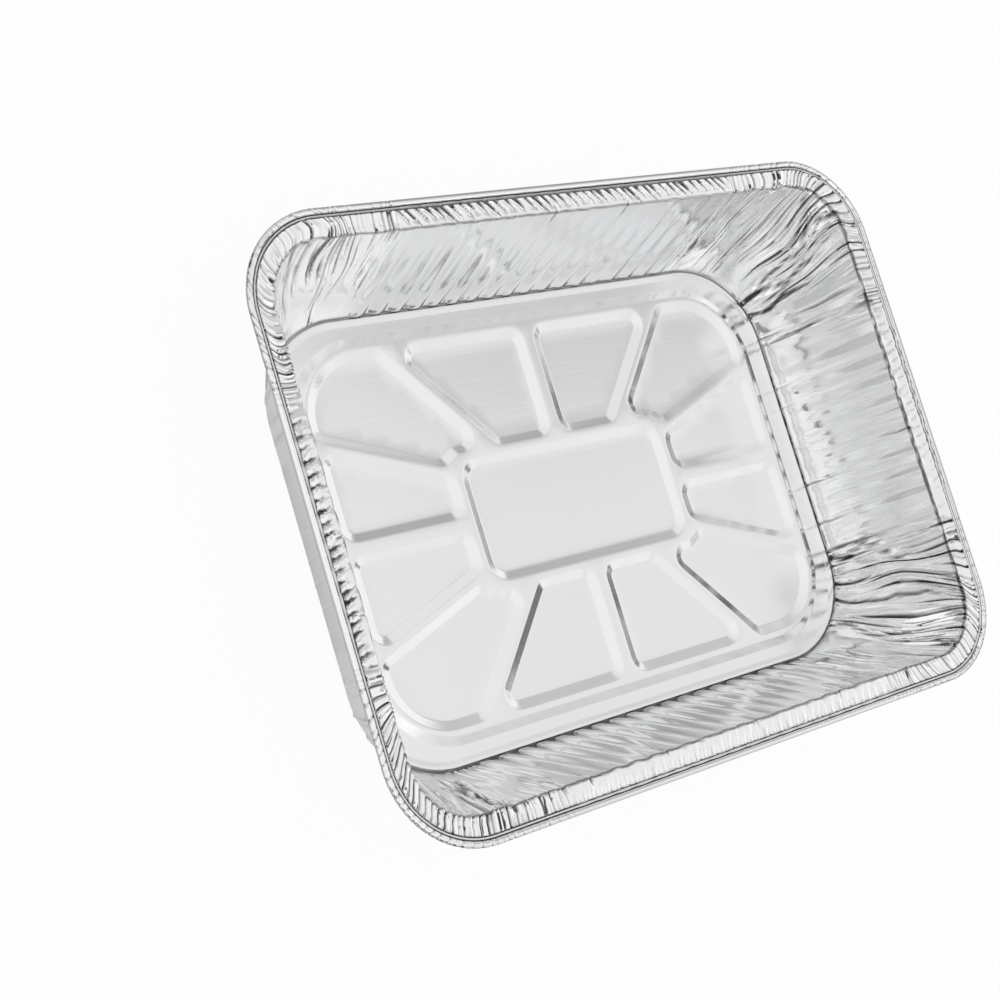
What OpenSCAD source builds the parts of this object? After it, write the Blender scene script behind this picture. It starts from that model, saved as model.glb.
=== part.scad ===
// A rectangular foil roasting pan: one pressed sheet with a ribbed base, a
// leaning wall that is fluted along its sides and gathered at its corners,
// and a crinkled flange with a rolled edge. Millimetres, standing on z = 0.

/* [Rim] */
// Length over the rolled edge
rim_l = 324; // [290:1:360]
// Width over the rolled edge
rim_w = 245; // [225:1:280]
// Corner radius over the rolled edge
rim_r = 38; // [34:1:42]
// Diameter of the rolled edge
roll_d = 2.6; // [2:0.1:3.2]
// Width of the flat lip just inside the rolled edge
lip_w = 1.4; // [0.8:0.1:2.4]
// Width of the crinkled band inside the lip
crinkle_w = 4; // [3:0.1:5]
// Height of the crinkles above and below the flange
crinkle_h = 0.45; // [0.1:0.05:0.6]
// Width of the smooth step between the crinkles and the wall
step_w = 3.6; // [2.5:0.1:5]
// Drop from the lip to the wall's top edge
flange_drop = 0.8; // [0.2:0.1:2]

/* [Wall] */
// Height of the pan from the table to the top of the rolled edge
pan_h = 61; // [45:1:75]
// How far the wall leans inwards from its top edge to the base
wall_run = 16; // [10:0.5:20]
// Corner radius of the base
base_r = 40; // [34:1:46]
// Thickness of the foil
foil = 0.4; // [0.3:0.05:0.6]

/* [Flutes and gathers] */
// Spacing of the flutes along the wall
flute_pitch = 9.7; // [8:0.1:12]
// How far a flute stands in from its grooves
flute_h = 1.3; // [0.6:0.1:1.8]
// Plain length at each end of the long walls
long_plain = 6; // [2:1:20]
// Plain length at each end of the short walls
short_plain = 14; // [2:1:24]
// Gathers in each corner
gathers = 12; // [6:1:14]
// Depth of a gather at the top of the wall
gather_h = 0.9; // [0.3:0.1:1.2]
// How deep the gathers pinch the rolled edge
pinch = 0.2; // [0:0.05:0.3]

/* [Base] */
// Height of the ribs pressed up into the base
rib_h = 1.7; // [1:0.1:3]
// Width of a rib's flat top
rib_top = 2.6; // [2:0.1:5]
// Width of the slope on each side of a rib
rib_slope = 4; // [2.5:0.1:5]
// Width of the ribs that run across the middle of the base
mid_top = 5; // [3:0.1:7]
// Width of the flat ring between the end walls and the outer rib
ring_x = 10; // [7:0.1:14]
// Width of the flat ring between the side walls and the outer rib
ring_y = 8.6; // [6:0.1:14]
// Length of the centre pad's floor
centre_l = 102; // [80:1:120]
// Width of the centre pad's floor
centre_w = 46; // [36:1:56]
// Corner radius of the pads' floors
pad_r = 3; // [2:0.5:4]
// How far the corner pads are cut back where they pass the centre pad's corners
notch = 7; // [4:0.5:10]
// Radius of that cut
notch_r = 9; // [4:0.5:12]
// Where the steep ribs start, as a share of the way from the middle to the corner pads
steep_start = 0.6; // [0.45:0.01:0.7]
// Where the steep ribs end, as a share of the way from the middle to the end of the pads
steep_end = 0.63; // [0.5:0.01:0.75]
// Where the flat ribs start, as a share of the way from the middle to the corner pads
flat_start = 0.7; // [0.55:0.01:0.8]
// Where the flat ribs end, as a share of the way from the middle to the side of the pads
flat_end = 0.57; // [0.45:0.01:0.65]

/* [Hidden] */

flange_w = roll_d + lip_w + crinkle_w + step_w;
lip_z = pan_h - roll_d / 2 + foil / 2;
wall_top = lip_z - flange_drop;
base_l = rim_l - 2 * (flange_w + wall_run);
base_w = rim_w - 2 * (flange_w + wall_run);
lean = atan(wall_run / wall_top);
corner_miter = (1 - sin(lean)) / cos(lean);

// Straight length of the base's sides, which the flutes keep to
end_x = base_l / 2 - base_r;
end_y = base_w / 2 - base_r;
long_count = floor(2 * (end_x - long_plain) / flute_pitch);
short_count = floor(2 * (end_y - short_plain) / flute_pitch);

flute_steps = 4;
flute_shape = [0, 0.8, 1, 0.8];
gather_steps = 2 * gathers;

// A column is [side or corner, place along it, flute share, gather sign].
// Sides are 0 to 3 anticlockwise from the right, and corner 4 + n follows side n.
function side_columns(side, half, count) =
    let (reach = count * flute_pitch / 2)
    concat(
        [[side, -half, 0, 0]],
        [for (i = [0:count * flute_steps])
            [side, -reach + i * flute_pitch / flute_steps, flute_shape[i % flute_steps], 0]],
        [[side, half, 0, 0]]);

function corner_columns(side) =
    [for (i = [1:gather_steps - 1]) [4 + side, i / gather_steps, 0, i % 2 == 0 ? -1 : 1]];

columns = concat(
    side_columns(0, end_y, short_count), corner_columns(0),
    side_columns(1, end_x, long_count), corner_columns(1),
    side_columns(2, end_y, short_count), corner_columns(2),
    side_columns(3, end_x, long_count), corner_columns(3));
column_count = len(columns);

// Columns that the rolled edge keeps: all in a corner, but only the ends of a side
edge_columns = [for (i = [0:column_count - 1])
    if (columns[i][0] >= 4 || abs(columns[i][1]) >= (columns[i][0] % 2 == 0 ? end_y : end_x)) i];
edge_count = len(edge_columns);

// Place and outward direction at a share of the first corner's path, from the
// right side's straight, round the arc, to the top side's straight
function corner_path(share, a, b, r) =
    let (first = b - r - end_y, arc = r * PI / 2, last = a - r - end_x,
         s = share * (first + arc + last))
    s < first ? [a, end_y + s, 1, 0]
    : s < first + arc ?
        let (turn = (s - first) / r * 180 / PI)
        [a - r + r * cos(turn), b - r + r * sin(turn), cos(turn), sin(turn)]
    : [a - r - (s - first - arc), b, 0, 1];

function outline_place(column, a, b, r) =
    let (k = column[0], t = column[1])
    k == 0 ? [a, t, 1, 0]
    : k == 1 ? [-t, b, 0, 1]
    : k == 2 ? [-a, -t, -1, 0]
    : k == 3 ? [t, -b, 0, -1]
    : let (p = corner_path(k % 2 == 0 ? t : 1 - t, a, b, r),
           sx = k == 5 || k == 6 ? -1 : 1,
           sy = k == 6 || k == 7 ? -1 : 1)
        [sx * p[0], sy * p[1], sx * p[2], sy * p[3]];

// A level is [inset from the rim, height, corner radius, direction through the
// foil across and up, flute height, gather depth, crinkle height]
function wall_level(share, flute, gather) = [
    flange_w + wall_run * (1 - share),
    foil + (wall_top - foil) * share,
    base_r + (rim_r - flange_w - base_r) * share,
    share == 0 || share == 1 ? [corner_miter, -1] : [cos(lean), -sin(lean)],
    flute, gather, 0];

function flange_level(inset, drop, gather, crinkle) =
    [inset, lip_z - drop, rim_r - inset, [0, -1], 0, gather, crinkle];

// Rows up the wall: [share of its height, of the flute height, of the gather depth]
wall_rows = [[0, 0.7, 0], [0.16, 1, 0.25], [0.62, 0.7, 0.8], [1, 0.25, 1]];
crinkle_row = 0.6;

levels = concat(
    [for (row = wall_rows) wall_level(row[0], row[1] * flute_h, row[2] * gather_h)],
    [flange_level(roll_d + lip_w + crinkle_row * crinkle_w, crinkle_row * flange_drop,
         crinkle_row * gather_h, crinkle_h),
     flange_level(roll_d + lip_w, 0, 0, 0)]);

// Signed height of the crinkles, up and down on neighbouring columns of a side
function zigzag(column, i) = column[0] < 4 ? (i % 2 == 0 ? -1 : 1) : 0;

function foil_point(column, i, level, depth) =
    let (p = outline_place(column, rim_l / 2 - level[0], rim_w / 2 - level[0], level[2]),
         through = depth + column[3] * level[5],
         out = level[3][0] * through - column[2] * level[4])
    [p[0] + p[2] * out, p[1] + p[3] * out,
     level[1] + level[3][1] * through + zigzag(column, i) * level[6]];

// The rolled edge is a ring of points round its own centre, pinched by the gathers
roll_turns = [42, 90, 135, 180, 240, 300];

function edge_point(column, across, up) =
    let (shrink = column[3] < 0 ? 1 - pinch : 1,
         inset = roll_d / 2 + across * shrink,
         p = outline_place(column, rim_l / 2 - inset, rim_w / 2 - inset, rim_r - inset))
    [p[0], p[1], pan_h - roll_d / 2 + up * shrink];

edge_places = concat(
    [[roll_d / 2, foil / 2]],
    [for (turn = roll_turns) roll_d / 2 * [cos(turn), sin(turn)]],
    [[roll_d / 2, -foil / 2]]);

shell_points = concat(
    [for (level = levels, i = [0:column_count - 1]) foil_point(columns[i], i, level, 0)],
    [for (place = edge_places, i = edge_columns) edge_point(columns[i], place[0], place[1])],
    [for (j = [len(levels) - 1:-1:0], i = [0:column_count - 1])
        foil_point(columns[i], i, levels[j], foil)],
    [[0, 0, foil], [0, 0, 0]]);

edge_start = len(levels) * column_count;
under_start = edge_start + len(edge_places) * edge_count;

// Two triangles for each cell between a ring of count points and the next ring
function band(start, count) =
    [for (i = [0:count - 1])
        let (k = (i + 1) % count)
        each [[start + i, start + k, start + count + k],
              [start + i, start + count + k, start + count + i]]];

// Triangles between the full ring of columns and the rolled edge's fewer columns
function stitch(full, sparse, flip) =
    [for (j = [0:edge_count - 1])
        let (from = edge_columns[j],
             to = j + 1 < edge_count ? edge_columns[j + 1] : edge_columns[0] + column_count,
             here = sparse + j,
             next = sparse + (j + 1) % edge_count,
             last = full + to % column_count)
        each concat(
            [for (i = [from:to - 1])
                let (a = full + i % column_count, b = full + (i + 1) % column_count)
                flip ? [b, a, here] : [a, b, here]],
            [flip ? [here, next, last] : [last, next, here]])];

// Triangles from a point in the middle to a ring round it
function fan(middle, start, flip) =
    [for (i = [0:column_count - 1])
        let (k = (i + 1) % column_count)
        flip ? [middle, start + k, start + i] : [middle, start + i, start + k]];

shell_faces = concat(
    fan(len(shell_points) - 2, 0, true),
    [for (j = [0:len(levels) - 2]) each band(j * column_count, column_count)],
    stitch(edge_start - column_count, edge_start, false),
    [for (j = [0:len(edge_places) - 2]) each band(edge_start + j * edge_count, edge_count)],
    stitch(under_start, under_start - edge_count, true),
    [for (j = [0:len(levels) - 2]) each band(under_start + j * column_count, column_count)],
    fan(len(shell_points) - 1, len(shell_points) - 2 - column_count, false));

// The pressed sheet without its base ribs
module foil_shell() {
    polyhedron(shell_points, shell_faces, convexity = 10);
}

// Base pattern: a centre pad, and three pads in each quarter, parted by ribs.
// All outlines are those of the pads' floors, anticlockwise
pad_gap = rib_top + 2 * rib_slope;
mid_gap = mid_top + 2 * rib_slope;
field_x = base_l / 2 - ring_x - pad_gap;
field_y = base_w / 2 - ring_y - pad_gap;
field_r = base_r - ring_x - rib_slope;
inner_x = centre_l / 2 + pad_gap;
inner_y = centre_w / 2 + pad_gap;

// Centre lines of the two slanting ribs: [inner end, outer end]
steep_rib = [[steep_start * inner_x, inner_y], [steep_end * field_x, field_y]];
flat_rib = [[inner_x, flat_start * inner_y], [field_x, flat_end * field_y]];

function length_of(v) = sqrt(v * v);
function unit(v) = v / length_of(v);
function left_of(v) = [-v[1], v[0]];

// Where two lines meet, each given by a point and a direction
function crossing(p, u, q, v) =
    let (w = q - p) p + u * (w[0] * v[1] - w[1] * v[0]) / (u[0] * v[1] - u[1] * v[0]);

// A rib's side, moved square to it towards the pad by half a gap
function rib_side(rib, sign) =
    let (u = unit(rib[1] - rib[0])) [rib[0] + left_of(u) * sign * pad_gap / 2, u];

function at_x(line, x) = crossing(line[0], line[1], [x, 0], [0, 1]);
function at_y(line, y) = crossing(line[0], line[1], [0, y], [1, 0]);

steep_left = rib_side(steep_rib, 1);
steep_right = rib_side(steep_rib, -1);
flat_above = rib_side(flat_rib, 1);
flat_below = rib_side(flat_rib, -1);

// The field's corner radius stays within the corner pad's outer edges
corner_edge = min(field_x - at_y(steep_right, field_y)[0], field_y - at_x(flat_above, field_x)[1]);
corner_r = min(field_r, corner_edge - pad_r);

// The pads of one quarter as corners, each with its rounding radius
side_pad = [
    [[mid_gap / 2, inner_y], pad_r], [at_y(steep_left, inner_y), pad_r],
    [at_y(steep_left, field_y), pad_r], [[mid_gap / 2, field_y], pad_r]];
corner_pad = [
    [at_y(steep_right, inner_y), pad_r], [[inner_x - notch, inner_y], notch_r],
    [at_x(flat_above, inner_x), pad_r], [at_x(flat_above, field_x), pad_r],
    [[field_x, field_y], corner_r], [at_y(steep_right, field_y), pad_r]];
end_pad = [
    [[inner_x, mid_gap / 2], pad_r], [[field_x, mid_gap / 2], pad_r],
    [at_x(flat_below, field_x), pad_r], [at_x(flat_below, inner_x), pad_r]];

function box_corners(x, y, r) = [[[-x, -y], r], [[x, -y], r], [[x, y], r], [[-x, y], r]];

// Steps of a corner's arc: few on small corners, more on large ones
function steps_for(r) = r > 5 * pad_r ? 8 : r > 2 * pad_r ? 3 : 2;

// Rounded outline moved outwards by grow, with the same count of points for any grow
function rounded(corners, grow) =
    let (n = len(corners))
    [for (i = [0:n - 1])
        let (p = corners[i][0],
             u = unit(p - corners[(i + n - 1) % n][0]),
             v = unit(corners[(i + 1) % n][0] - p),
             turn = atan2(u[0] * v[1] - u[1] * v[0], u * v),
             r = corners[i][1],
             back = r * tan(abs(turn) / 2),
             side = turn > 0 ? 1 : -1,
             centre = p - u * back + left_of(u) * r * side,
             start = atan2(u[1], u[0]) - 90 * side,
             reach = r + grow * side)
        for (k = [0:steps_for(r)])
            let (angle = start + turn * k / steps_for(r))
            centre + reach * [cos(angle), sin(angle)]];

// A solid whose outline grows or shrinks evenly with height, through a list of
// [height, growth]
module tapered(corners, rows) {
    rings = [for (row = rows) [for (p = rounded(corners, row[1])) [p[0], p[1], row[0]]]];
    n = len(rings[0]);
    last = (len(rows) - 1) * n;
    sides = [for (j = [0:len(rows) - 2], i = [0:n - 1])
        let (a = j * n + i, b = j * n + (i + 1) % n) each [[a, a + n, b + n], [a, b + n, b]]];
    polyhedron([for (ring = rings) each ring],
        concat([[for (i = [0:n - 1]) i]], sides, [[for (i = [n - 1:-1:0]) last + i]]));
}

// The ribs as a solid block, from inside the foil up, with a recess for each pad.
// Each recess is carried on past the block's faces, so that it goes clear through
slope_ratio = rib_slope / rib_h;
over = 0.4;
module pad_recess(corners) {
    tapered(corners, [for (z = [foil / 2 - over, foil, foil + rib_h, foil + rib_h + over])
        [z, slope_ratio * (z - foil)]]);
}

module rib_block() {
    outer_x = field_x + rib_slope + rib_top;
    outer_y = field_y + rib_slope + rib_top;
    outer_r = field_r + rib_slope + rib_top;
    difference() {
        tapered(box_corners(outer_x, outer_y, outer_r), [for (z = [foil / 2, foil, foil + rib_h])
            [z, slope_ratio * (foil + rib_h - z)]]);
        hull() pad_recess(box_corners(centre_l / 2, centre_w / 2, 2 * pad_r));
        for (flip_x = [0, 1], flip_y = [0, 1])
            mirror([flip_x, 0, 0]) mirror([0, flip_y, 0]) {
                hull() pad_recess(side_pad);
                hull() pad_recess(end_pad);
                pad_recess(corner_pad);
            }
    }
}

module pan() {
    color([0.8, 0.81, 0.82])
    difference() {
        union() {
            foil_shell();
            rib_block();
        }
        translate([0, 0, -foil]) rib_block();
    }
}

pan();
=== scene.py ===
# Foil roasting pan: camera, pressed foil sheet, floor and light

import bisect
import math
import random

import bpy
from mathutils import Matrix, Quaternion, Vector, noise
from mathutils.geometry import delaunay_2d_cdt


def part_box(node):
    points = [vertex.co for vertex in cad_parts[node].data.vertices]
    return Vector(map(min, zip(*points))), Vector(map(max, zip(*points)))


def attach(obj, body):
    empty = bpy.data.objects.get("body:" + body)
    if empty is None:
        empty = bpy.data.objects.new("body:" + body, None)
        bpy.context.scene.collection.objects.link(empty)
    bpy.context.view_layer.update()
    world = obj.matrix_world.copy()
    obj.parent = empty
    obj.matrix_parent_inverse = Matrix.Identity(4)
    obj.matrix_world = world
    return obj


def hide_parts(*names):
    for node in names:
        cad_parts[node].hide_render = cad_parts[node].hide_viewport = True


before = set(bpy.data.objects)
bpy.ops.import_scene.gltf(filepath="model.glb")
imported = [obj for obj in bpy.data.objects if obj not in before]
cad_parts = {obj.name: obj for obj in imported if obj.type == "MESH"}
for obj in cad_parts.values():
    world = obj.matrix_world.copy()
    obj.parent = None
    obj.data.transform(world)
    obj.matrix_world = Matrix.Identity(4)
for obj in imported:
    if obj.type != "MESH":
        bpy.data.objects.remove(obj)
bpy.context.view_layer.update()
low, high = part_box("pan")
mm = 0.001

# Camera, in millimetres and degrees

view = {
    "place": (-467.1, -70.5, 610.2),
    "target": (-59.3, 3.3, 30.0),
    "roll": 64.84,
    "lens": 63.85,
    "sensor": 36,
}


def makeCamera():
    camera = bpy.data.objects.new("camera", bpy.data.cameras.new("camera"))
    camera.data.lens = view["lens"]
    camera.data.sensor_width = view["sensor"]
    camera.location = Vector(view["place"]) * mm
    aim = (Vector(view["target"]) - Vector(view["place"])).to_track_quat("-Z", "Y")
    camera.rotation_mode = "QUATERNION"
    camera.rotation_quaternion = aim @ Quaternion((0, 0, 1), math.radians(view["roll"]))
    bpy.context.collection.objects.link(camera)
    bpy.context.scene.camera = camera


makeCamera()
bpy.context.scene.view_settings.view_transform = "Standard"
print("camera in place")

# The sheet, in millimetres. Across is measured inwards from the rim

sheet = {
    "foil": 0.4,
    "rimRadius": 38,
    "rollRadius": 1.3,
    "lipWidth": 1.4,
    "lipCrown": 0.05,
    "crinkleWidth": 4.0,
    "stepWidth": 3.6,
    "flangeDrop": 0.8,
    "wallRun": 16,
    "baseRadius": 40,
    "footRadius": 0.4,
    "footSwell": 0.3,
    "shoulderRadius": 1.1,
    "shoulderInset": 0.4,
    "grooveDepth": 0.45,
    "grooveWidth": 0.75,
    "outerGroove": 2.75,
    "flutePitch": 9.7,
    "fluteDepth": 1.3,
    "fluteSpread": (0.75, 1.1),
    "fluteRound": 0.75,
    "longPlain": 6,
    "shortPlain": 14,
    "cornerFade": 16,
    "sag": 0.2,
    "sagLength": 24,
    "cornerSag": 0.6,
    "cornerSagLength": 9,
    "sagRise": 20,
    "pinch": 0.2,
    "sharpAngle": 34,
    "seed": 7,
}

foil = sheet["foil"]
halfX = (high.x - low.x) / 2 / mm
halfY = (high.y - low.y) / 2 / mm
tall = (high.z - low.z) / mm
lipInner = 2 * sheet["rollRadius"] + sheet["lipWidth"]
flangeWidth = lipInner + sheet["crinkleWidth"] + sheet["stepWidth"]
wallAcross = flangeWidth + sheet["wallRun"]
lipHeight = tall - sheet["rollRadius"] + foil / 2
wallTop = lipHeight - sheet["flangeDrop"]
baseX = halfX - flangeWidth - sheet["wallRun"]
baseY = halfY - flangeWidth - sheet["wallRun"]
endX = baseX - sheet["baseRadius"]
endY = baseY - sheet["baseRadius"]
columnsPerFlute = 12
columnsPerCorner = 168
chance = random.Random(sheet["seed"])


# The right, top, left and bottom sides differ, as in the photograph. A flute's gain runs from the
# side's first flute to its last. A slant is in millimetres along the rim for each one inwards, and
# an edge turn, in degrees round the rolled edge, is where its dark outer part begins. The rest are
# shares
# The shades, lines, the foot fade and the edge turn are painted shade: they darken each side's wall as its
# reflections fall, and its lines, hollows and rolled edge
sideLook = {
    "fluteGain": ((0.7, 0.9), (0.4, 1.2), (1.0, 1.0), (1.0, 1.0)),
    "fluteSoft": (0.9, 0.9, 0.4, 0.4),
    "footFlute": (0.3, 0.6, 0.1, 0.45),
    "topFlute": (0.8, 0.25, 0.3, 0.3),
    "fluteShade": (0.03, 0.0, 0.1, 0.12),
    "wallShade": (0.0, 0.2, 0.07, 0.07),
    "footShadeLine": (1.0, 0.75, 0.6, 0.95),
    "footFade": (0.0, 0.05, 0.0, 0.35),
    "shoulderShadeLine": (1.0, 0.3, 0.5, 0.65),
    "footCrease": (0.35, 0.5, 0.3, 0.8),
    "shoulderCrease": (0.35, 0.12, 0.5, 0.3),
    "pitGain": (0.25, 1.5, 1.6, 0.5),
    "pitShade": (0.3, 1.0, 1.0, 0.3),
    "pitSlant": (0.3, 0.8, 0.25, -0.3),
    "edgeTurn": (55, 85, 135, 110),
}


# A corner passes from its first side's value to its second's
def sideValue(name, column):
    values = sideLook[name]
    side = column["side"]
    if side < 4:
        return values[side]
    return mixed(column["along"], values[side - 4], values[(side - 3) % 4])


def ramp(value, start, end):
    return min(1, max(0, (value - start) / (end - start)))


def smooth(value, start, end):
    share = ramp(value, start, end)
    return share * share * (3 - 2 * share)


def mixed(share, a, b):
    return a + (b - a) * share


# Columns run once round the pan, anticlockwise from the right side. Sides are 0 to 3,
# and corner 4 + n follows side n. On a side, along is in millimetres, and in a corner a share

def makeColumns():
    columns = []
    pitch = sheet["flutePitch"]
    step = pitch / columnsPerFlute
    for side in range(4):
        half, plain = (endX, sheet["longPlain"]) if side % 2 else (endY, sheet["shortPlain"])
        flutes = int(2 * (half - plain) / pitch)
        reach = flutes * pitch / 2
        plainSteps = max(2, round((half - reach) / step))
        first, last = sideLook["fluteGain"][side]
        for i in range(plainSteps):
            columns.append({"side": side, "along": mixed(i / plainSteps, -half, -reach), "phase": 0})
        for flute in range(flutes):
            gain = chance.uniform(*sheet["fluteSpread"]) * mixed((flute / flutes) ** 2, first, last)
            for i in range(columnsPerFlute):
                along = -reach + flute * pitch + i * step
                phase = i / columnsPerFlute
                columns.append({"side": side, "along": along, "phase": phase, "gain": gain})
        for i in range(plainSteps + 1):
            columns.append({"side": side, "along": mixed(i / plainSteps, reach, half), "phase": 0})
        for i in range(1, columnsPerCorner):
            columns.append({"side": 4 + side, "along": i / columnsPerCorner, "phase": 0})
    return columns


def cornerPath(share, a, b, r):
    first = b - r - endY
    arc = r * math.pi / 2
    last = a - r - endX
    run = share * (first + arc + last)
    if run < first:
        return a, endY + run, 1, 0
    if run < first + arc:
        turn = (run - first) / r
        return a - r + r * math.cos(turn), b - r + r * math.sin(turn), math.cos(turn), math.sin(turn)
    return a - r - (run - first - arc), b, 0, 1


# Columns wander along the rim in the corners, so that the creases on them bunch and curve.
# The amount is a share of the corner, the length is in millimetres along the foot, and a bend
# is how fast the wandering changes over a wall's height, or over as much of the flange
driftLook = {
    "amount": 0.09,
    "length": 19,
    "wallBend": 1.7,
    "flangeBend": 0.6,
    "endFade": 0.1,
    "footFade": 0.3,
    "cornerStep": 9.5,
}


def drift(column, across):
    look = driftLook
    along = column["along"]
    fade = ramp(min(along, 1 - along), 0, look["endFade"])
    level = (wallAcross - across) / sheet["wallRun"]
    level = max(0, level) if level < 1 else 1 + (level - 1) * look["flangeBend"]
    spot = Vector((column["run"] / look["length"], look["wallBend"] * level,
                   look["cornerStep"] * column["side"]))
    return fade * look["amount"] * noise.noise(spot) * ramp(level, 0, look["footFade"])


def placeOf(column, across, radius):
    side, along = column["side"], column["along"]
    if side > 3:
        along += drift(column, across)
    a = halfX - across
    b = halfY - across
    if side == 0:
        return a, along, 1, 0
    if side == 1:
        return -along, b, 0, 1
    if side == 2:
        return -a, -along, -1, 0
    if side == 3:
        return along, -b, 0, -1
    x, y, outX, outY = cornerPath(along if side % 2 == 0 else 1 - along, a, b, radius)
    flipX = -1 if side in (5, 6) else 1
    flipY = -1 if side in (6, 7) else 1
    return flipX * x, flipY * y, flipX * outX, flipY * outY


# A column's run is its distance along the foot of the wall, in millimetres

columns = makeColumns()
columnCount = len(columns)
for column in columns:
    column["run"] = 0
    x, y, _, _ = placeOf(column, wallAcross, sheet["baseRadius"])
    column["place"] = Vector((x, y))
total = 0
for i, column in enumerate(columns):
    column["run"] = total
    total += (columns[(i + 1) % columnCount]["place"] - column["place"]).length
runs = [column["run"] for column in columns]


# How much of a column belongs to the corner: 1 in it, fading over the plain stretch of a side
def cornerShare(column):
    if column["side"] > 3:
        return 1
    half = endX if column["side"] % 2 else endY
    return 1 - smooth(half - abs(column["along"]), 0, sheet["cornerFade"])


for column in columns:
    column["corner"] = cornerShare(column)


# The shorter way round between two runs
def apart(a, b):
    return abs((a - b + total / 2) % total - total / 2)


# Creases are narrow valleys with raised lips, which run up the wall and out over the flange.
# From, to, top, reach and length are shares of the wall's height, as are the fades in and out, and
# out is the distance from the rim where a crease ends. Steps, depths and half widths are in
# millimetres. A lip is a share of the depth, and its reach is in half widths. The dark values say
# how much painted shade a crease's bottom gets

creaseLook = {
    "beyondCorner": 7,
    "endFade": 14,
    "pleatStep": (0.9, 2.6),
    "pleatTop": 0.9,
    "pleatReach": 0.85,
    "pleatDepth": (0.2, 1.15),
    "pleatEndDepth": 0.6,
    "pleatWidth": (0.42, 0.75),
    "pleatOut": 4,
    "foldsPerCorner": 16,
    "foldFrom": (-0.2, 0.5),
    "foldLength": (0.35, 0.9),
    "foldDepth": (0.5, 1.3),
    "foldWidth": (0.7, 1.3),
    "foldWander": 1.0,
    "foldOut": 9,
    "finesPerCorner": 34,
    "fineFrom": (0.35, 0.9),
    "fineLength": (0.3, 0.6),
    "fineDepth": (0.25, 0.6),
    "fineWidth": (0.42, 0.6),
    "footTo": (0.1, 0.4),
    "footDepth": (0.25, 0.55),
    "footWidth": 1.3,
    "shoulderFrom": (0.72, 0.92),
    "shoulderOut": (8, 11),
    "shoulderDepth": (0.3, 0.6),
    "shoulderWidth": 0.8,
    "lip": 0.35,
    "lipReach": 2.4,
    "fadeIn": 0.2,
    "fadeOut": 0.25,
    "fadeAcross": 0.3,
    "tipWidth": 0.35,
    "bends": 4.5,
    "darkFrom": 0.1,
    "darkGain": 1.5,
    "darkPower": 1.2,
    "darkMost": 1.2,
}

# A crease from below the foot, and one that leaves the wall at its top
belowFoot = -1
aboveWall = 9

# Deep folds, listed one by one. Place is a share of the corner's path
deepFolds = [
    {"corner": 7, "place": 0.93, "from": belowFoot, "to": 0.75, "depth": 1.5, "width": 1.7, "wander": 6},
    {"corner": 7, "place": 0.8, "from": belowFoot, "to": 0.5, "depth": 1.1, "width": 1.2, "wander": 3},
    {"corner": 7, "place": 0.66, "from": -0.2, "to": 0.95, "depth": 1.2, "width": 1.3, "wander": 4},
    {"corner": 7, "place": 0.5, "from": -0.2, "to": 0.8, "depth": 1.2, "width": 1.3, "wander": 4},
    {"corner": 4, "place": 0.12, "from": belowFoot, "to": 0.45, "depth": 1.4, "width": 1.7, "wander": 5},
    {"corner": 4, "place": 0.24, "from": belowFoot, "to": 0.8, "depth": 1.5, "width": 1.5, "wander": 5},
    {"corner": 4, "place": 0.4, "from": 0.1, "to": 1.2, "depth": 1.4, "width": 1.4, "wander": 5},
    {"corner": 5, "place": 0.6, "from": 0, "to": 1.2, "depth": 1.2, "width": 1.3, "wander": 4},
    {"corner": 6, "place": 0.8, "from": 0.1, "to": 1.2, "depth": 1.3, "width": 1.6, "wander": 4},
]


def drawn(name):
    return chance.uniform(*creaseLook[name])


# A crease that doesn't wander lies on a column, so that its bottom stays sharp
def makeCrease(run, start, end, out, depth, width, wander=0):
    if not wander:
        run = runs[bisect.bisect(runs, run) % columnCount]
    return {"run": run, "from": start, "to": end, "out": out, "depth": depth, "width": width,
            "wander": wander, "lean": chance.uniform(-1, 1) * wander, "seed": chance.uniform(0, 99)}


def makePleats(first, last):
    look = creaseLook
    creases = []
    run = first
    while run < last:
        middle = ramp(min(run - first, last - run), 0, look["endFade"])
        start = look["pleatTop"] - look["pleatReach"] * middle * chance.random() ** 2
        depth = drawn("pleatDepth") * mixed(middle, look["pleatEndDepth"], 1)
        creases.append(makeCrease(run, start, aboveWall, look["pleatOut"], depth, drawn("pleatWidth")))
        run += drawn("pleatStep")
    return creases


def makeFolds(first, last):
    look = creaseLook
    creases = []
    for k in range(look["foldsPerCorner"]):
        run = mixed((k + chance.random()) / look["foldsPerCorner"], first, last)
        start = drawn("foldFrom")
        end = start + drawn("foldLength")
        depth, width = drawn("foldDepth"), drawn("foldWidth")
        wander = look["foldWander"] if k % 3 == 0 else 0
        creases.append(makeCrease(run, start, end, look["foldOut"], depth, width, wander))
    for k in range(look["finesPerCorner"]):
        start = drawn("fineFrom")
        run = mixed(chance.random(), first, last)
        end = start + drawn("fineLength")
        depth, width = drawn("fineDepth"), drawn("fineWidth")
        creases.append(makeCrease(run, start, end, look["foldOut"], depth, width))
    return creases


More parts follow.
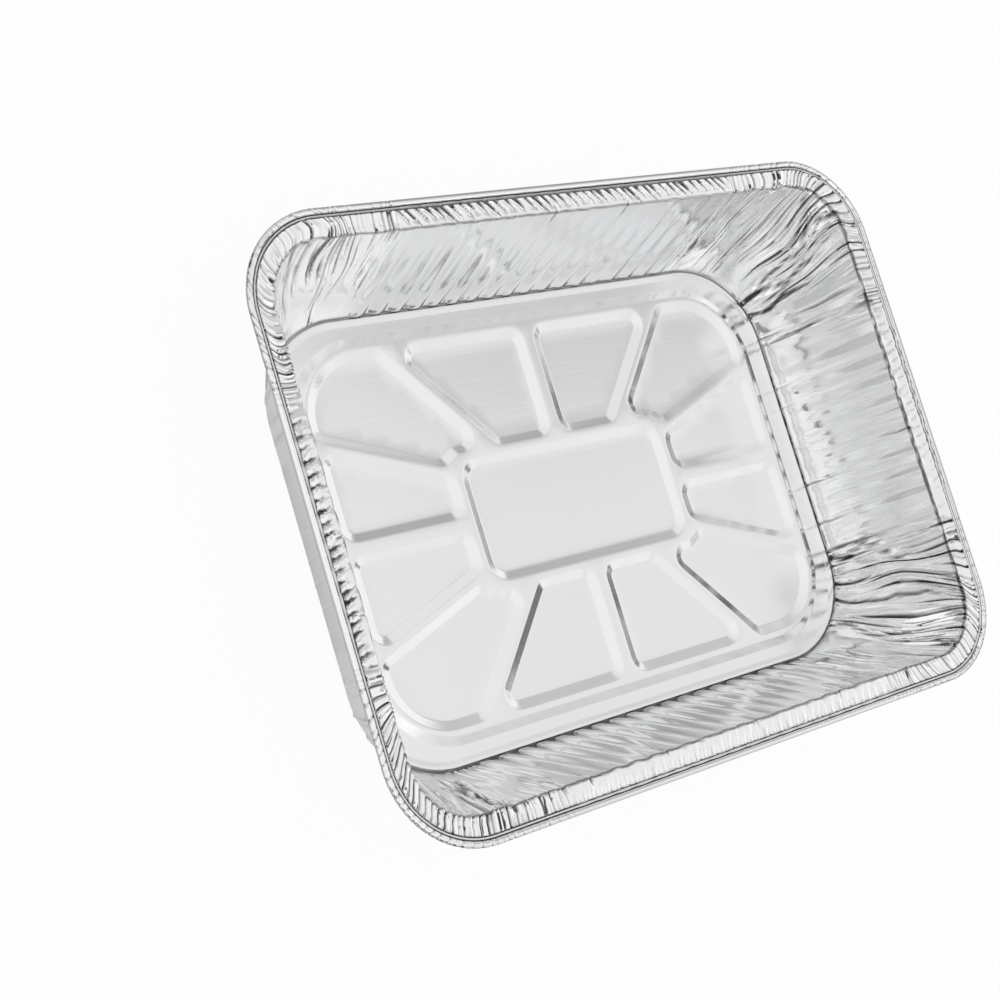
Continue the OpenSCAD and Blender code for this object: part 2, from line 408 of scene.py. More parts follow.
def makeCreases():
    look = creaseLook
    creases = []
    for corner in range(4, 8):
        span = [column["run"] for column in columns if column["side"] == corner]
        first, last = span[0] - look["beyondCorner"], span[-1] + look["beyondCorner"]
        creases += makePleats(first, last) + makeFolds(first, last)
        for fold in deepFolds:
            if fold["corner"] == corner:
                run = mixed(fold["place"], span[0], span[-1])
                creases.append(makeCrease(run, fold["from"], fold["to"], look["foldOut"],
                                          fold["depth"], fold["width"], fold["wander"]))
    for column in columns:
        if "gain" in column and column["phase"] == 0:
            if chance.random() < sideValue("footCrease", column):
                creases.append(makeCrease(column["run"], belowFoot, drawn("footTo"), look["foldOut"],
                                          drawn("footDepth"), look["footWidth"]))
            if chance.random() < sideValue("shoulderCrease", column):
                creases.append(makeCrease(column["run"], drawn("shoulderFrom"), aboveWall,
                                          drawn("shoulderOut"), drawn("shoulderDepth"),
                                          look["shoulderWidth"]))
    return creases


# A crease's shape across: deepest in the middle, with a low lip on each side
def valley(t):
    lip, reach = creaseLook["lip"], creaseLook["lipReach"]
    if t < 1:
        return 1 - (1 + lip) * t
    return -lip * max(0, reach - t) / (reach - 1)


creases = makeCreases()
for column in columns:
    near = []
    for crease in creases:
        reach = creaseLook["lipReach"] * crease["width"] + 2 * crease["wander"]
        if apart(crease["run"], column["run"]) < reach:
            near.append(crease)
    column["creases"] = near


# Depth of the creases at a place, and the painted shade of their narrow bottoms. A crease gets
# narrower as it fades
def creaseDepth(column, row):
    look = creaseLook
    depth = cavity = 0
    share = row["share"]
    for crease in column["creases"]:
        start, end, out = crease["from"], crease["to"], crease["out"]
        window = ramp(share, start, start + look["fadeIn"]) * ramp(share, end, end - look["fadeOut"])
        window *= ramp(row["across"], out, out + look["fadeAcross"])
        if window > 0:
            place = crease["run"] + crease["lean"] * (1 - share)
            place += crease["wander"] * noise.noise(Vector((crease["seed"], look["bends"] * share, 0)))
            away = apart(place, column["run"]) / crease["width"]
            bottom = valley(away / mixed(window, look["tipWidth"], 1))
            depth += crease["depth"] * window * bottom
            dark = look["darkGain"] * (window * crease["depth"]) ** look["darkPower"]
            cavity += max(0, bottom - look["darkFrom"]) * min(look["darkMost"], dark)
    return depth, cavity


# Pits are the three-cornered hollows of the crinkled band, widest and deepest at the lip, with
# one flank steeper. Between them the band is crowned, and their deeper parts get painted shade. Sizes are in
# millimetres

pitLook = {
    "step": (3.4, 5.4),
    "depth": (1.0, 1.8),
    "reach": (5.0, 8.0),
    "steep": (0.8, 1.2),
    "gentle": (1.8, 3.3),
    "tipWidth": 0.25,
    "taper": 0.6,
    "crown": 0.25,
    "crownFade": (6, 2),
    "darkFrom": 0.2,
    "darkTo": 0.75,
}


def makePits():
    pits = []
    place = 0
    while place < total:
        pit = {name: chance.uniform(*pitLook[name]) for name in ("depth", "reach", "steep", "gentle")}
        pits.append({**pit, "start": place})
        place += chance.uniform(*pitLook["step"])
    return pits


pits = makePits()
pitStarts = [pit["start"] for pit in pits]


def pitDepth(column, row):
    inwards = row["across"] - lipInner
    place = (column["run"] + sideValue("pitSlant", column) * inwards) % total
    pit = pits[bisect.bisect(pitStarts, place) - 1]
    into = place - pit["start"]
    share = ramp(inwards, pit["reach"], 0)
    depth = 0
    if share > 0:
        flank = pit["steep"] if into < pit["steep"] else pit["gentle"]
        width = flank * mixed(share, pitLook["tipWidth"], 1)
        depth = pit["depth"] * share ** pitLook["taper"] * max(0, 1 - abs(into - pit["steep"]) / width)
    crown = pitLook["crown"] * math.sin(math.pi * min(1, into / pitLook["step"][0]))
    return sideValue("pitGain", column) * (depth - crown * ramp(inwards, *pitLook["crownFade"]))


# Painted shade, as a share of the way from the foil's tone to its dark tone. The foot's and the shoulder's
# painted dark lines come and go over their lengths, in millimetres, and turns are in degrees round the
# rolled edge

shadeLook = {
    "base": 0.05,
    "footFrom": 0.75,
    "footTo": 1.1,
    "footLength": 7,
    "footHeight": 0.16,
    "shoulderSway": 2,
    "shoulderLength": 5,
    "fluteEdge": 0.6,
    "besideGroove": 0.2,
    "underside": 0.3,
    "crimp": 0.4,
    "rollEdge": 0.6,
    "rollEdgeTurn": 35,
}

# Rows run from the flat of the base, up the wall, over the flange and round the rolled edge.
# Those inside the foot have a distance to it, a share of the swell and a darkness of painted shade, and
# those on the flange a distance from the rim and a share of its drop

footRows = [(2.6, 0.5, 0), (1.6, 1, 0), (1.0, 0.95, 0.1), (0.7, 0.2, 1)]
wallShares = [0.03, 0.07, 0.12, 0.18, 0.25, 0.32, 0.4, 0.48, 0.56, 0.64, 0.72, 0.8, 0.87, 0.93, 0.97]
flangeRows = [(9.6, 0.9), (8.2, 0.75), (7.4, 0.6), (6.4, 0.45), (5.4, 0.25), (4.6, 0.1)]
lean = math.atan2(sheet["wallRun"], wallTop - foil)


def wallRadius(share):
    return mixed(share, sheet["baseRadius"], sheet["rimRadius"] - flangeWidth)


def filletRows(across, height, radius, inside, steps):
    back = radius * (1 - math.sin(lean)) / math.cos(lean)
    rows = []
    for i in range(steps + 1):
        turn = (math.pi / 2 - lean) * (i / steps if inside else 1 - i / steps)
        side, up = -math.sin(turn), math.cos(turn)
        if inside:
            rows.append((across + back + radius * side, height + radius - radius * up))
        else:
            rows.append((across - back - radius * side, height - radius + radius * up))
    return rows


def makeWallRows():
    rows = [{"across": wallAcross + 4, "height": foil}]
    for inwards, swell, dark in footRows:
        height = foil + sheet["footSwell"] * swell
        rows.append({"across": wallAcross + inwards, "height": height, "foot": dark})
    for across, height in filletRows(wallAcross, foil, sheet["footRadius"], True, 2):
        rows.append({"across": across, "height": height, "foot": 1 if height < foil + 0.2 else 0.5})
    for share in wallShares:
        height = mixed(share, foil, wallTop)
        rows.append({"across": wallAcross - sheet["wallRun"] * share, "height": height})
    for across, height in filletRows(flangeWidth, wallTop, sheet["shoulderRadius"], False, 2):
        rows.append({"across": across, "height": height})
    rows[-3]["shoulder"], rows[-2]["shoulder"] = 1, -1     # its line passes from one row to the other
    for row in rows:
        row["share"] = ramp(row["height"], foil, wallTop)
        row["radius"] = wallRadius(row["share"])
        if row["across"] > wallAcross:
            row["share"] = 0
            row["radius"] = sheet["baseRadius"] - row["across"] + wallAcross
    return rows


# The lip lies between two fine grooves, whose bottoms, and a little beside them, get painted shade
def makeFlangeRows():
    half = sheet["grooveWidth"] / 2
    outer = sheet["outerGroove"]
    crown, bottom = lipHeight + sheet["lipCrown"], lipHeight - sheet["grooveDepth"]
    beside = shadeLook["besideGroove"]
    places = [(across, lipHeight - share * sheet["flangeDrop"], 0) for across, share in flangeRows]
    places += [(lipInner + half, lipHeight, beside), (lipInner, bottom, 1), (lipInner - half, crown, beside),
               (outer + half, crown, beside), (outer, bottom, 1)]
    return [{"across": across, "height": height, "cavity": dark, "share": 1,
             "radius": sheet["rimRadius"] - across} for across, height, dark in places]


# Where the flutes, the sag and the pits fade, as shares of the wall's height or, for a span, as
# distances from the rim
fadeLook = {
    "footFlutes": 0.16,
    "topFlutes": 0.3,
    "flangeFlutes": 0.2,
    "flangeFluteSpan": (8, 11),
    "wallSag": 0.25,
    "flangeSag": 0.5,
    "flangeSagSpan": (4, 11),
    "pitSpan": (4, 4.25),
}

rows = makeWallRows() + makeFlangeRows()
for j, row in enumerate(rows):
    share, across = row["share"], row["across"]
    before, after = rows[max(0, j - 1)], rows[min(len(rows) - 1, j + 1)]
    run = Vector((before["across"] - after["across"], after["height"] - before["height"])).normalized()
    row["normal"] = (0, 1) if j <= len(footRows) else (-run.y, run.x)
    row["cavity"] = row.get("cavity", 0)
    row["sag"] = smooth(share, 0, fadeLook["wallSag"])
    row["crease"] = 1 if share > 0 else 0
    row["pit"] = 0
    if across < flangeWidth - sheet["shoulderInset"]:
        row["sag"] = fadeLook["flangeSag"] * ramp(across, *fadeLook["flangeSagSpan"])
        row["pit"] = ramp(across, *fadeLook["pitSpan"])


# A flute has sharp valleys, or soft ones and a steeper flank
def fluteShape(column):
    phase, soft = column["phase"], sideValue("fluteSoft", column)
    if not 0 < phase < 1:
        return 0
    sharp = math.sin(math.pi * phase) ** sheet["fluteRound"]
    return mixed(soft, sharp, 0.5 - 0.5 * math.cos(2 * math.pi * phase ** sheet["fluteRound"]))


# Flutes grow from the foot, change towards the shoulder and fade out on the flange
def fluteShare(column, row):
    share = row["share"]
    if share == 0:
        return 0
    if row["pit"]:
        return fadeLook["flangeFlutes"] * ramp(row["across"], *fadeLook["flangeFluteSpan"])
    foot = mixed(ramp(share, 0, fadeLook["footFlutes"]), sideValue("footFlute", column), 1)
    return foot * mixed(smooth(share, fadeLook["topFlutes"], 1), 1, sideValue("topFlute", column))


# Unevenness along the rim, from -1 to 1
def uneven(column, length, seed):
    return noise.noise(Vector((column["run"] / length, 0, seed)))


# Darkness of a place apart from its creases and pits
def lineShade(column, row, fluted, fluteShade):
    look = shadeLook
    dark = row["cavity"]
    # Painted shade: the base, and the walls outside the crinkled band, darker or lighter by side as their
    # reflections fall, fading out in the corners
    if row["share"] == 0:
        dark += look["base"]
    elif not row["pit"]:
        dark += (1 - column["corner"]) * sideValue("wallShade", column)
        # Painted shade: the wall darkens near its foot, most on the bottom side, where it lies in shade
        dark += sideValue("footFade", column) * ramp(row["share"], look["footHeight"], 0)
    # Painted shade: a dark line where the wall meets the base
    if "foot" in row:
        line = mixed(0.5 + 0.5 * uneven(column, look["footLength"], 3), look["footFrom"], look["footTo"])
        dark += row["foot"] * sideValue("footShadeLine", column) * line
    # Painted shade: a wavy dark line along the shoulder
    if "shoulder" in row:
        line = 1 + row["shoulder"] * look["shoulderSway"] * uneven(column, look["shoulderLength"], 8)
        dark += max(0, line) * sideValue("shoulderShadeLine", column)
    # Painted shade in the flutes' valleys
    if 0 < fluted < look["fluteEdge"] and row["crease"]:
        dark += sideValue("fluteShade", column) * fluteShade
    return dark


# Height of the sheet's relief over its plain form, towards the inside of the pan, and the place's
# painted shade, which is 1 at the bottom of a deep crease
def relief(i, row):
    column = columns[i]
    corner = column["corner"]
    fluted = fluteShape(column) * column.get("gain", 1)
    share = fluteShare(column, row)
    height = sheet["fluteDepth"] * share * fluted
    cavity = lineShade(column, row, fluted, share)
    sag = mixed(corner, sheet["sag"], sheet["cornerSag"]) * row["sag"]
    if sag > 0:
        x, y = column["place"] / mixed(corner, sheet["sagLength"], sheet["cornerSagLength"])
        height += sag * noise.noise(Vector((x, y, row["height"] / sheet["sagRise"])))
    if row["crease"]:
        depth, bottom = creaseDepth(column, row)
        height -= depth
        cavity += bottom
    if row["pit"] and corner < 1:
        depth = (1 - corner) * row["pit"] * pitDepth(column, row)
        height -= depth
        # Painted shade in the pits
        cavity += sideValue("pitShade", column) * smooth(depth, pitLook["darkFrom"], pitLook["darkTo"])
    return height, min(1, cavity)


# Depth is how far the point lies under the sheet's upper face
def sheetPoint(i, row, depth):
    x, y, outX, outY = placeOf(columns[i], row["across"], row["radius"])
    if "relief" not in row:
        row["relief"] = [relief(k, row) for k in range(columnCount)]
    rise = row["relief"][i][0] - depth
    out = row["normal"][0] * rise
    return x + outX * out, y + outY * out, max(foil - depth, row["height"] + row["normal"][1] * rise)


# Creases that reach the crinkled band crimp the rolled edge, by as much as their painted shade

crimpRow = {"share": 1, "across": 5}
crimps = [min(1, creaseDepth(column, crimpRow)[1]) for column in columns]
edgeTurns = [sideValue("edgeTurn", column) for column in columns]
rollTurns = [30, 60, 90, 125, 160, 195, 230, 270, 310]


def rollPoint(i, turn):
    reach = sheet["rollRadius"] * (1 - sheet["pinch"] * crimps[i])
    across = sheet["rollRadius"] + reach * math.cos(turn)
    x, y, _, _ = placeOf(columns[i], across, sheet["rimRadius"] - across)
    return x, y, tall - sheet["rollRadius"] + reach * math.sin(turn)


# The base: pads on the table's level, parted by raised ribs. In millimetres, apart from a rib's
# two ends, which are shares of the centre's and the field's half sizes

base = {
    "ribHeight": 1.7,
    "ribTop": 2.6,
    "ribSlope": 4.0,
    "midRibTop": 5.0,
    "ringX": 10.0,
    "ringY": 8.6,
    "centreX": 51.0,
    "centreY": 23.0,
    "padRadius": 3.0,
    "notch": 7.0,
    "notchRadius": 9.0,
    "steepRib": (0.60, 0.63),
    "flatRib": (0.70, 0.57),
    "edgeSoftness": 0.4,
    "sway": 0.12,
    "swayLength": 30,
    "spacing": 5.0,
    "edgePiece": 5,
    "arcPiece": 2.5,
    "arcMargin": 3,
    "floorPiece": 8,
    "floorMargin": 2,
}

padGap = base["ribTop"] + 2 * base["ribSlope"]
midGap = base["midRibTop"] + 2 * base["ribSlope"]
fieldX = baseX - base["ringX"] - padGap
fieldY = baseY - base["ringY"] - padGap
innerX = base["centreX"] + padGap
innerY = base["centreY"] + padGap


def crossing(p, u, q, v):
    return p + u * ((q - p).cross(v) / u.cross(v))


class RibSide:
    def __init__(self, start, end, sign):
        self.along = (end - start).normalized()
        self.point = start + Vector((-self.along.y, self.along.x)) * sign * padGap / 2

    def atX(self, x):
        return crossing(self.point, self.along, Vector((x, 0)), Vector((0, 1)))

    def atY(self, y):
        return crossing(self.point, self.along, Vector((0, y)), Vector((1, 0)))


# One quarter's three pads, mirrored to the others, and the centre pad
def makePads():
    (steepIn, steepOut), (flatIn, flatOut) = base["steepRib"], base["flatRib"]
    steep = [Vector((steepIn * innerX, innerY)), Vector((steepOut * fieldX, fieldY))]
    flat = [Vector((innerX, flatIn * innerY)), Vector((fieldX, flatOut * fieldY))]
    steepLeft, steepRight = RibSide(*steep, 1), RibSide(*steep, -1)
    above, below = RibSide(*flat, 1), RibSide(*flat, -1)
    r = base["padRadius"]
    edge = min(fieldX - steepRight.atY(fieldY).x, fieldY - above.atX(fieldX).y)
    fieldRadius = min(sheet["baseRadius"] - base["ringX"] - base["ribSlope"], edge - r)
    quarter = [
        [((midGap / 2, innerY), r), (steepLeft.atY(innerY), r),
         (steepLeft.atY(fieldY), r), ((midGap / 2, fieldY), r)],
        [(steepRight.atY(innerY), r), ((innerX - base["notch"], innerY), base["notchRadius"]),
         (above.atX(innerX), r), (above.atX(fieldX), r),
         ((fieldX, fieldY), fieldRadius), (steepRight.atY(fieldY), r)],
        [((innerX, midGap / 2), r), ((fieldX, midGap / 2), r),
         (below.atX(fieldX), r), (below.atX(innerX), r)],
    ]
    pads = [boxCorners(base["centreX"], base["centreY"], 2 * r)]
    for flipX in (1, -1):
        for flipY in (1, -1):
            for pad in quarter:
                corners = [((p[0] * flipX, p[1] * flipY), radius) for p, radius in pad]
                pads.append(corners if flipX * flipY > 0 else corners[::-1])
    return pads


def boxCorners(x, y, r):
    return [((-x, -y), r), ((x, -y), r), ((x, y), r), ((-x, y), r)]


# Rounded outline, moved outwards by grow, with its straight stretches cut to pieces
def roundedOutline(corners, grow, piece):
    points = []
    count = len(corners)
    for i, (corner, r) in enumerate(corners):
        p = Vector(corner)
        u = (p - Vector(corners[i - 1][0])).normalized()
        v = (Vector(corners[(i + 1) % count][0]) - p).normalized()
        turn = math.atan2(u.cross(v), u.dot(v))
        side = 1 if turn > 0 else -1
        centre = p - u * r * math.tan(abs(turn) / 2) + Vector((-u.y, u.x)) * r * side
        start = math.atan2(u.y, u.x) - math.pi / 2 * side
        steps = max(4, round(abs(turn) * (r + base["arcMargin"]) / base["arcPiece"]))
        for k in range(steps + 1):
            angle = start + turn * k / steps
            points.append(centre + (r + grow * side) * Vector((math.cos(angle), math.sin(angle))))
    cut = []
    for i, p in enumerate(points):
        q = points[(i + 1) % len(points)]
        parts = max(1, round((q - p).length / piece))
        cut += [p.lerp(q, k / parts) for k in range(parts)]
    return cut


# Share of a rib's height at a distance up its slope, with softened edges
def slopeShare(distance):
    run, soft = base["ribSlope"], base["edgeSoftness"]
    if distance <= -soft:
        return 0
    if distance < soft:
        return (distance + soft) ** 2 / (4 * soft * run)
    if distance <= run - soft:
        return distance / run
    if distance < run + soft:
        return 1 - (run + soft - distance) ** 2 / (4 * soft * run)
    return 1


def insideBy(point, outline):
    nearest = 1e9
    inside = False
    for i, p in enumerate(outline):
        q = outline[i - 1]
        edge = q - p
        share = min(1, max(0, (point - p).dot(edge) / edge.length_squared))
        nearest = min(nearest, (point - p - edge * share).length)
        if (p.y > point.y) != (q.y > point.y) and point.x < p.x + edge.x * (point.y - p.y) / edge.y:
            inside = not inside
    return nearest if inside else -nearest


def sway(x, y):
    length = base["swayLength"]
    return base["sway"] * (0.5 + 0.5 * noise.noise(Vector((x / length, y / length, 5))))


# The base's points with their heights, which given point each one comes from, and the triangles
def makeBasePlan():
    soft, run = base["edgeSoftness"], base["ribSlope"]
    distances = [-soft, 0, soft, run - soft, run, run + soft]
    points, heights, edges = [], [], []

    def addRing(ring, share):
        start = len(points)
        points.extend(ring)
        heights.extend([foil + base["ribHeight"] * share] * len(ring))
        edges.extend([(start + i, start + (i + 1) % len(ring)) for i in range(len(ring))])

    addRing([Vector(sheetPoint(i, rows[0], 0)[:2]) for i in range(columnCount)], 0)
    pads = makePads()
    for pad in pads:
        for distance in distances:
            addRing(roundedOutline(pad, distance, base["edgePiece"]), slopeShare(distance))
    outer = boxCorners(fieldX + run + base["ribTop"], fieldY + run + base["ribTop"],
                       sheet["baseRadius"] - base["ringX"] + base["ribTop"])
    for distance in distances:
        addRing(roundedOutline(outer, run - distance, base["edgePiece"]), slopeShare(distance))
    floors = [roundedOutline(pad, -soft, base["floorPiece"]) for pad in pads]
    spacing = base["spacing"]
    for i in range(-int(fieldX / spacing), int(fieldX / spacing) + 1):
        for j in range(-int(fieldY / spacing), int(fieldY / spacing) + 1):
            p = Vector(((i + 0.5 * (j % 2)) * spacing, j * spacing))
            if any(insideBy(p, floor) > base["floorMargin"] for floor in floors):
                points.append(p)
                heights.append(foil)
    made = delaunay_2d_cdt(points, edges, [], 0, 1e-6)
    plan = [None] * len(made[0])
    order = [None] * len(made[0])
    for k, sources in enumerate(made[3]):
        x, y = made[0][k]
        plan[k] = (x, y, heights[sources[0]] + sway(x, y) * (0 if sources[0] < columnCount else 1))
        order[k] = sources[0]
    return plan, order, made[2]


# The sheet's flat coordinates are a column's run and a height up the sheet, in units of 100 mm.
# The underside and the base lie apart from the rest
flatUnit = 100
flatUnder = 200
flatBase = 400
flatRoll = 80


def makeSheet():
    vertices, faces, paintedShades, walls, marks = [], [], [], [], []

    def addRing(points, cavity, wall, up):
        start = len(vertices)
        vertices.extend(points)
        paintedShades.extend(cavity)
        walls.extend([wall] * len(points))
        marks.extend([(column["run"], up) for column in columns])
        return start

    def addRow(row, depth):
        points = [sheetPoint(i, row, depth) for i in range(columnCount)]
        # The underside gets a share of the painted shade of the face above it
        cavity = [spot[1] * (shadeLook["underside"] if depth else 1) for spot in row["relief"]]
        up = row["height"] - row["across"] - flatUnder * (depth > 0)
        return addRing(points, cavity, ramp(row["share"], 0, 0.05), up)

    # The underside has fewer rows, each as low as the rows that it stands for
    def addUnderRow(k):
        near = rows[max(0, k - 2):k + 3]
        lowest = [min((row["relief"][i] for row in near), key=lambda spot: spot[0])
                  for i in range(columnCount)]
        return addRow({**rows[k], "relief": lowest}, foil)

    def addRollRow(turn):
        look = shadeLook
        points = [rollPoint(i, math.radians(turn)) for i in range(columnCount)]
        # Painted shade and painted dark reflection: the rolled edge darkens in its crimps and over its outer
        # part
        dark = [look["crimp"] * crimp + look["rollEdge"] * ramp(turn, start, start + look["rollEdgeTurn"])
                for crimp, start in zip(crimps, edgeTurns)]
        return addRing(points, dark, 1, flatRoll - turn / 40)

    def join(a, b):
        for i in range(columnCount):
            k = (i + 1) % columnCount
            faces.append((a + i, a + k, b + k, b + i))

    rings = [addRow(row, 0) for row in rows] + [addRollRow(turn) for turn in rollTurns]
    under = [k for k in range(len(rows)) if (k > 7 and k % 3 == 0) or k in (0, 2, 4, 6)]
    rings += [addUnderRow(k) for k in reversed(under)]
    for a, b in zip(rings, rings[1:]):
        join(a, b)
    plan, order, triangles = makeBasePlan()
    for ring, depth in ((rings[0], 0), (rings[-1], foil)):
        where = []
        for point, source in zip(plan, order):
            if source < columnCount:
                where.append(ring + source)
            else:
                where.append(len(vertices))
                vertices.append((point[0], point[1], point[2] - depth))
                # The base's painted shade
                paintedShades.append(shadeLook["base"])
                walls.append(0)
                marks.append((point[0], point[1] - flatBase))
        for triangle in triangles:
            corners = [where[k] for k in triangle]
            faces.append(corners if depth == 0 else corners[::-1])
    mesh = bpy.data.meshes.new("foil_pan")
    mesh.from_pydata([Vector(p) * mm for p in vertices], [], faces)
    mesh.validate()
    mesh.update()
    mesh.shade_smooth()
    mesh.set_sharp_from_angle(angle=math.radians(sheet["sharpAngle"]))
    mesh.attributes.new("cavity", "FLOAT", "POINT").data.foreach_set("value", paintedShades)
    mesh.attributes.new("wall", "FLOAT", "POINT").data.foreach_set("value", walls)
    addFlatMap(mesh, marks)
    pan = bpy.data.objects.new("foil_pan", mesh)
    bpy.context.collection.objects.link(pan)
    return pan


# A face across the seam takes the run on past the whole way round
def addFlatMap(mesh, marks):
    layer = mesh.uv_layers.new(name="sheet").data
    for face in mesh.polygons:
        places = [marks[mesh.loops[k].vertex_index] for k in face.loop_indices]
        furthest = max(place[0] for place in places)
        for k, (run, up) in zip(face.loop_indices, places):
            over = total if furthest - run > total / 2 else 0
            layer[k].uv = ((run + over) / flatUnit, up / flatUnit)


pan = makeSheet()
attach(pan, "root")
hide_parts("pan")
triangleCount = sum(len(face.vertices) - 2 for face in pan.data.polygons)
print("foil sheet:", len(pan.data.vertices), "vertices,", triangleCount, "triangles")


def grey(shade):
    return shade, shade, shade, 1


# Shader maths as plain expressions on sockets

class Wire:
    def __init__(self, paint, socket):
        self.paint = paint
        self.socket = socket

    def __add__(self, other):
        return self.paint.maths("ADD", self, other)

    def __radd__(self, other):
        return self.paint.maths("ADD", other, self)

    def __sub__(self, other):
        return self.paint.maths("SUBTRACT", self, other)

    def __mul__(self, other):
        return self.paint.maths("MULTIPLY", self, other)


class Paint:
    def __init__(self, tree):
        self.tree = tree
        tree.nodes.clear()

    def node(self, kind, settings, sockets):
        node = self.tree.nodes.new(kind)
        for name, value in settings.items():
            if name == "stops":
                stops = node.color_ramp.elements
                while len(stops) < len(value):
                    stops.new(1)
                for stop, (place, shade) in zip(stops, value):
                    stop.position = place
                    stop.color = grey(shade)
            else:
                setattr(node, name, value)
        for name, value in sockets.items():
            socket = node.inputs[name]
            if isinstance(value, Wire):
                self.tree.links.new(value.socket, socket)
            else:
                socket.default_value = value
        return {socket.name: Wire(self, socket) for socket in node.outputs if socket.enabled}

    def maths(self, operation, a, b):
        return self.node("ShaderNodeMath", {"operation": operation}, {0: a, 1: b})["Value"]

    def vector(self, operation, a, b, result="Vector"):
        return self.node("ShaderNodeVectorMath", {"operation": operation}, {0: a, 1: b})[result]

    def noise(self, place, scale):
        return self.node("ShaderNodeTexNoise", {}, {"Vector": place, "Scale": scale, "Detail": 2})["Fac"]

    def attribute(self, name):
        return self.node("ShaderNodeAttribute", {"attribute_name": name}, {})["Fac"]

    def mixedColours(self, share, a, b):
        return self.node("ShaderNodeMix", {"data_type": "RGBA"}, {0: share, 6: a, 7: b})["Result"]

    def step(self, value, start, end):
        return self.node("ShaderNodeMapRange", {"interpolation_type": "SMOOTHSTEP"}, {
            "Value": value, "From Min": start, "From Max": end})["Result"]


# Bright foil, darkened towards a dark tone by the sheet's painted shade. Streaks are in millimetres and run
# up the sheet, and scales and heights are for metres

foilLook = {
    "tone": (0.96, 0.963, 0.967, 1),
    "paintedShadeTone": (0.12, 0.122, 0.127, 1),
    "baseRoughness": 0.18,
    "wallRoughness": 0.1,
    "roughnessSpread": 0.08,
    "patchScale": 30,
    "streakWidth": 1.3,
    "streakLength": 26,
    "streakHeight": 0.00012,
    "grainScale": (60, 900, 900),
    "grainHeight": 0.00002,
}


def makeFoil():
    look = foilLook
    material = bpy.data.materials.new("bright foil")
    material.use_nodes = True
    paint = Paint(material.node_tree)
    place = paint.node("ShaderNodeTexCoord", {}, {})
    cavity = paint.attribute("cavity")
    wall = paint.attribute("wall")
    streakScale = (flatUnit / look["streakWidth"] / 2, flatUnit / look["streakLength"] / 2, 1)
    streaks = paint.noise(paint.vector("MULTIPLY", place["UV"], streakScale), 1)
    grain = paint.noise(paint.vector("MULTIPLY", place["Object"], look["grainScale"]), 1)
    patches = paint.noise(place["Object"], look["patchScale"])
    height = streaks * wall * look["streakHeight"] + grain * look["grainHeight"]
    bump = paint.node("ShaderNodeBump", {}, {"Height": height, "Distance": 1.0, "Strength": 1.0})
    roughness = (look["baseRoughness"] + wall * (look["wallRoughness"] - look["baseRoughness"])
                 + (patches - 0.5) * look["roughnessSpread"])
    # Painted shade: the base colour darkens where the sheet's painted shade attribute puts shade and dark
    # reflections
    shader = paint.node("ShaderNodeBsdfPrincipled", {}, {
        "Base Color": paint.mixedColours(cavity, look["tone"], look["paintedShadeTone"]),
        "Metallic": 1, "Roughness": roughness, "Normal": bump["Normal"]})
    paint.node("ShaderNodeOutputMaterial", {}, {"Surface": shader["BSDF"]})
    return material


pan.data.materials.append(makeFoil())
print("foil material made")


# The floor shows white, apart from the pan's soft shadow

floorLook = {
    "size": 3.0,
    "shade": 0.95,
    "glow": 0.94,
    "mirroredGlow": 0.12,
}


def makeFloor():
    size = floorLook["size"]
    corners = [(-size, -size, 0), (size, -size, 0), (size, size, 0), (-size, size, 0)]
    mesh = bpy.data.meshes.new("floor")
    mesh.from_pydata(corners, [], [(0, 1, 2, 3)])
    floor = bpy.data.objects.new("floor", mesh)
    bpy.context.collection.objects.link(floor)
    material = bpy.data.materials.new("white floor")
    material.use_nodes = True
    paint = Paint(material.node_tree)
    path = paint.node("ShaderNodeLightPath", {}, {})
    lit = paint.node("ShaderNodeBsdfDiffuse", {}, {"Color": grey(floorLook["shade"])})
    white = paint.node("ShaderNodeEmission", {}, {"Color": grey(1), "Strength": 1})
    mirrored = path["Is Glossy Ray"] + path["Is Transmission Ray"]
    seen = path["Is Camera Ray"] * floorLook["glow"] + mirrored * floorLook["mirroredGlow"]
    mix = paint.node("ShaderNodeMixShader", {}, {0: seen, 1: lit["BSDF"], 2: white["Emission"]})
    paint.node("ShaderNodeOutputMaterial", {}, {"Surface": mix["Shader"]})
    mesh.materials.append(material)


makeFloor()


# The studio round the pan: a bright dome with dark gaps between its panels, grey cards, and a dark
# flag which the left slopes of the ribs mirror by way of the right wall. Angles are in degrees. The
# size of a card, gap or flag is its half angle, and a gap's top and the fades are heights on a dome
# of radius 1

studio = {
    "dome": [(0, 0.2), (0.05, 0.25), (0.15, 1.0), (0.5, 1.0), (0.8, 0.82), (1, 0.93)],
    "cards": [
        {"azimuth": 52, "elevation": 27, "size": 13, "shade": 0.4},
        {"azimuth": 30, "elevation": 44, "size": 12, "shade": 0.6},
    ],
    "cardSoftness": 4,
    "gaps": [
        {"azimuth": -128, "size": 3, "top": 0.56},
        {"azimuth": -92, "size": 5, "top": 0.56},
        {"azimuth": -66, "size": 3, "top": 0.56},
        {"azimuth": -15, "size": 5, "top": 0.56},
        {"azimuth": 84, "size": 4, "top": 0.56},
        {"azimuth": 118, "size": 5, "top": 0.56},
    ],
    "gapShade": 0.06,
    "gapSoftness": 2,
    "gapFade": 0.12,
    "flag": {"azimuth": 174, "size": 34, "bottom": 34, "top": 52, "shade": 0.06, "fade": 0.05},
}


def towards(azimuth, elevation):
    a, e = math.radians(azimuth), math.radians(elevation)
    return math.cos(a) * math.cos(e), math.sin(a) * math.cos(e), math.sin(e)


def cosine(angle):
    return math.cos(math.radians(angle))


# Share that is 1 within a half angle of an azimuth
def wedge(paint, level, azimuth, size):
    facing = paint.vector("DOT_PRODUCT", level, towards(azimuth, 0), "Value")
    soft = studio["gapSoftness"]
    return paint.step(facing, cosine(size + soft), cosine(size - soft))


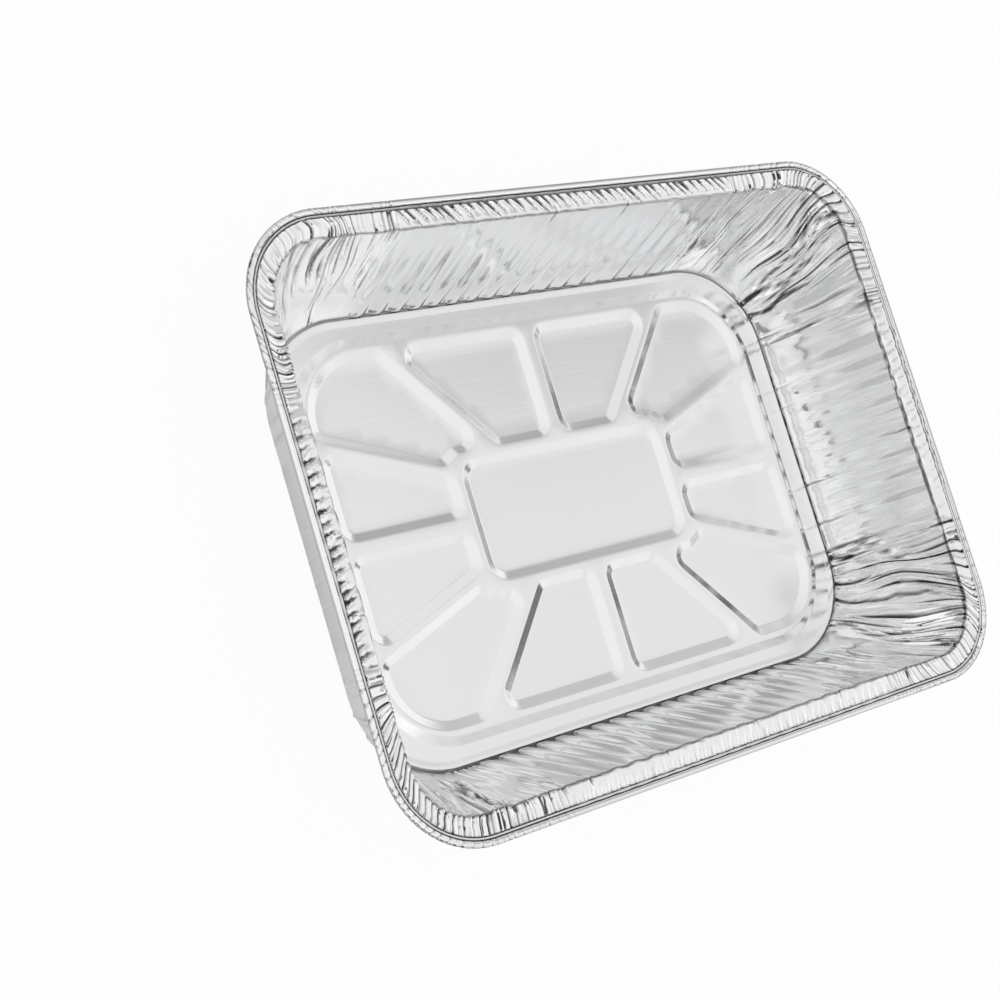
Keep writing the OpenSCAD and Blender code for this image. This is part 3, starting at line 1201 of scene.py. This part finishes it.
def makeWorld():
    world = bpy.data.worlds.new("studio")
    bpy.context.scene.world = world
    world.use_nodes = True
    paint = Paint(world.node_tree)
    path = paint.node("ShaderNodeLightPath", {}, {})
    direction = paint.node("ShaderNodeTexCoord", {}, {})["Generated"]
    height = paint.node("ShaderNodeSeparateXYZ", {}, {"Vector": direction})["Z"]
    shade = paint.node("ShaderNodeValToRGB", {"stops": studio["dome"]}, {"Fac": height})["Color"]
    soft = studio["cardSoftness"]
    for card in studio["cards"]:
        middle = towards(card["azimuth"], card["elevation"])
        facing = paint.vector("DOT_PRODUCT", direction, middle, "Value")
        cover = paint.step(facing, cosine(card["size"] + soft), cosine(card["size"] - soft / 2))
        shade = paint.mixedColours(cover, shade, grey(card["shade"]))
    level = paint.vector("MULTIPLY", direction, (1, 1, 0))
    level = paint.node("ShaderNodeVectorMath", {"operation": "NORMALIZE"}, {0: level})["Vector"]
    for gap in studio["gaps"]:
        cover = wedge(paint, level, gap["azimuth"], gap["size"])
        cover = cover * paint.step(height, gap["top"], gap["top"] - studio["gapFade"])
        shade = paint.mixedColours(cover, shade, grey(studio["gapShade"]))
    flag = studio["flag"]
    bottom, top = (math.sin(math.radians(flag[name])) for name in ("bottom", "top"))
    cover = (wedge(paint, level, flag["azimuth"], flag["size"])
             * paint.step(height, bottom, bottom + flag["fade"])
             * paint.step(height, top, top - flag["fade"]))
    shade = paint.mixedColours(cover, shade, grey(flag["shade"]))
    light = paint.node("ShaderNodeBackground", {}, {"Color": shade, "Strength": 1})
    seen = paint.node("ShaderNodeBackground", {}, {"Color": grey(1), "Strength": 1})
    mix = paint.node("ShaderNodeMixShader", {}, {
        0: path["Is Camera Ray"], 1: light["Background"], 2: seen["Background"]})
    paint.node("ShaderNodeOutputWorld", {}, {"Surface": mix["Shader"]})


makeWorld()


# A weak lamp before the pan's long side, in metres and watts

keyLamp = {
    "place": (-0.2, -0.9, 1.1),
    "aim": (0, 0, 0.02),
    "size": 0.8,
    "power": 0.5,
}


def makeLamp(name, look):
    lamp = bpy.data.lights.new(name, "AREA")
    lamp.shape = "SQUARE"
    lamp.size = look["size"]
    lamp.energy = look["power"]
    holder = bpy.data.objects.new(name, lamp)
    holder.location = look["place"]
    direction = Vector(look["aim"]) - Vector(look["place"])
    holder.rotation_euler = direction.to_track_quat("-Z", "Y").to_euler()
    bpy.context.collection.objects.link(holder)


makeLamp("key", keyLamp)
print("floor and light made")
